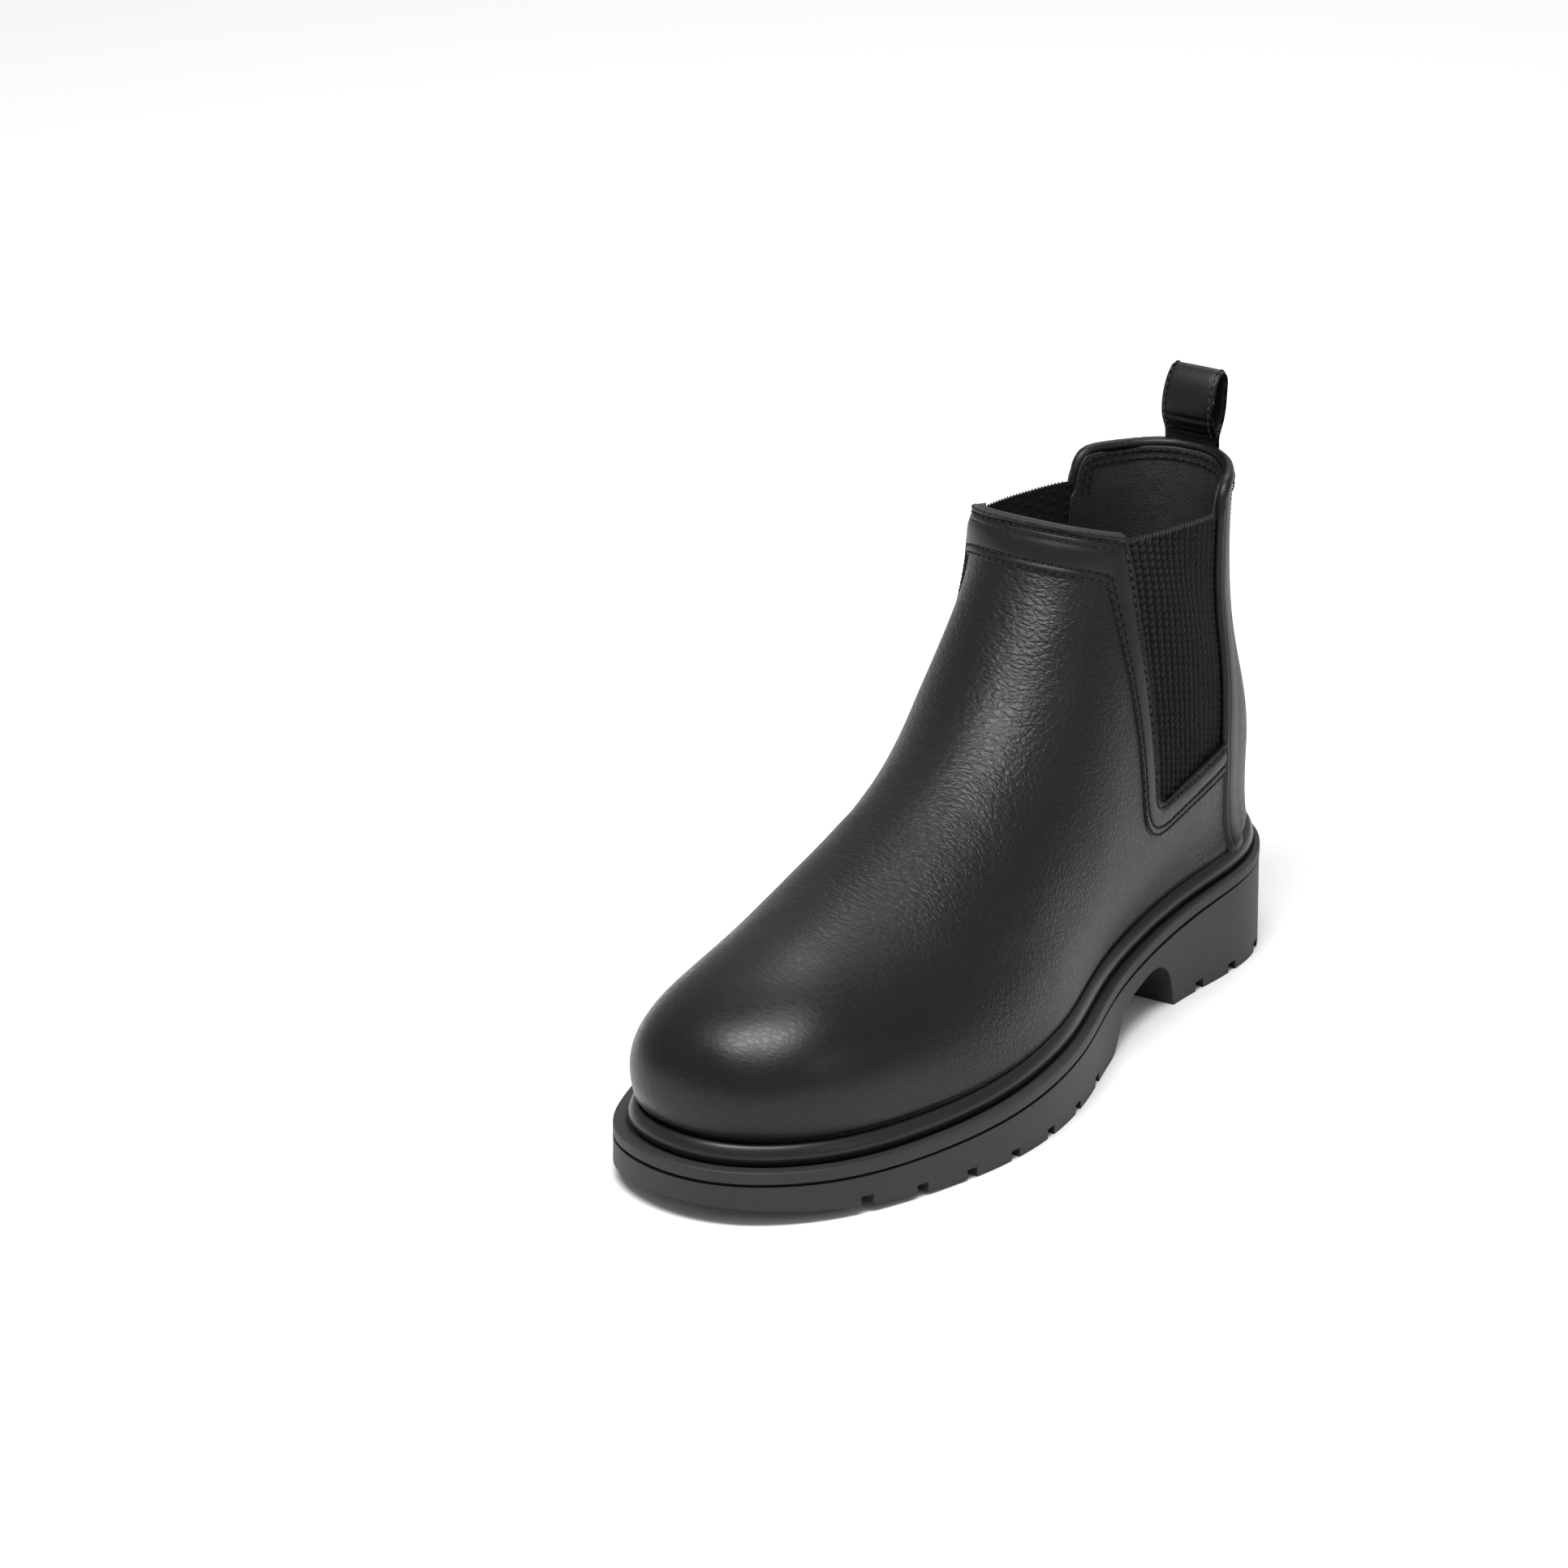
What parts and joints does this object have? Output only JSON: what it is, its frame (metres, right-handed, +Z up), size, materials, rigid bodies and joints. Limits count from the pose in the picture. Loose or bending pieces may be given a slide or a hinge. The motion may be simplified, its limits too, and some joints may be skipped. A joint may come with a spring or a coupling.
{
  "type": "chelsea boot",
  "caption": "Ankle-high slip-on leather boot for the left foot, with elastic side panels, a pull tab at the back and a lugged rubber sole",
  "frame": {"origin": "on the ground under the middle of the boot's bounding box", "axes": "+X to the toe, +Y to the outer side of the foot, +Z up"},
  "size_m": [0.306, 0.116, 0.186],
  "materials": {
    "sole_rubber": "matte moulded rubber, charcoal",
    "midsole_rubber": "matte moulded rubber, charcoal",
    "bead_rubber": "semi-gloss moulded rubber, near black",
    "cork_filler": "pressed cork granules",
    "spring_steel": "tempered spring steel strip",
    "fibre_board": "cellulose board",
    "footbed_foam": "open-cell foam",
    "lining_leather": "smooth lining leather, black",
    "grain_leather": "pebbled full-grain leather, black",
    "smooth_leather": "smooth finished leather, black",
    "stiffener_sheet": "thermoplastic stiffener sheet",
    "elastic_web": "ribbed woven elastic, black"
  },
  "bodies": {
    "root": {"outsole": "sole_rubber", "midsole": "midsole_rubber", "welt_bead": "bead_rubber", "bottom_filler": "cork_filler", "steel_shank": "spring_steel", "insole_board": "fibre_board", "footbed": "footbed_foam", "sock_lining": "lining_leather", "vamp_front": "grain_leather", "vamp_instep": "grain_leather", "front_facing": "smooth_leather", "vamp_lining": "lining_leather", "toe_puff": "stiffener_sheet", "heel_counter": "stiffener_sheet", "gore_lateral": "elastic_web", "gore_medial": "elastic_web", "heel_panel_lower": "grain_leather", "back_lining_lower": "lining_leather", "rear_facing_lateral_lower": "smooth_leather", "rear_facing_medial_lower": "smooth_leather"},
    "shaft_back": {"heel_panel_upper": "grain_leather", "back_lining_upper": "lining_leather", "rear_facing_lateral_upper": "smooth_leather", "rear_facing_medial_upper": "smooth_leather", "pull_tab_ends": "smooth_leather"},
    "pull_tab_loop": {"pull_tab": "smooth_leather"}
  },
  "joints": [
    {"name": "shaft_opening", "type": "hinge", "parent": "root", "child": "shaft_back", "pos_m": [-0.15125, -0.00334, 0.08421], "axis": [0, -1, 0], "range_deg": [0, 11], "stiffness_Nm_per_rad": 1.5, "deforming": ["gore_lateral", "gore_medial"]},
    {"name": "pull_tab_fold", "type": "hinge", "parent": "shaft_back", "child": "pull_tab_loop", "pos_m": [-0.14615, -0.00404, 0.16361], "axis": [0, 1, 0], "range_deg": [-60, 75]}
  ]
}
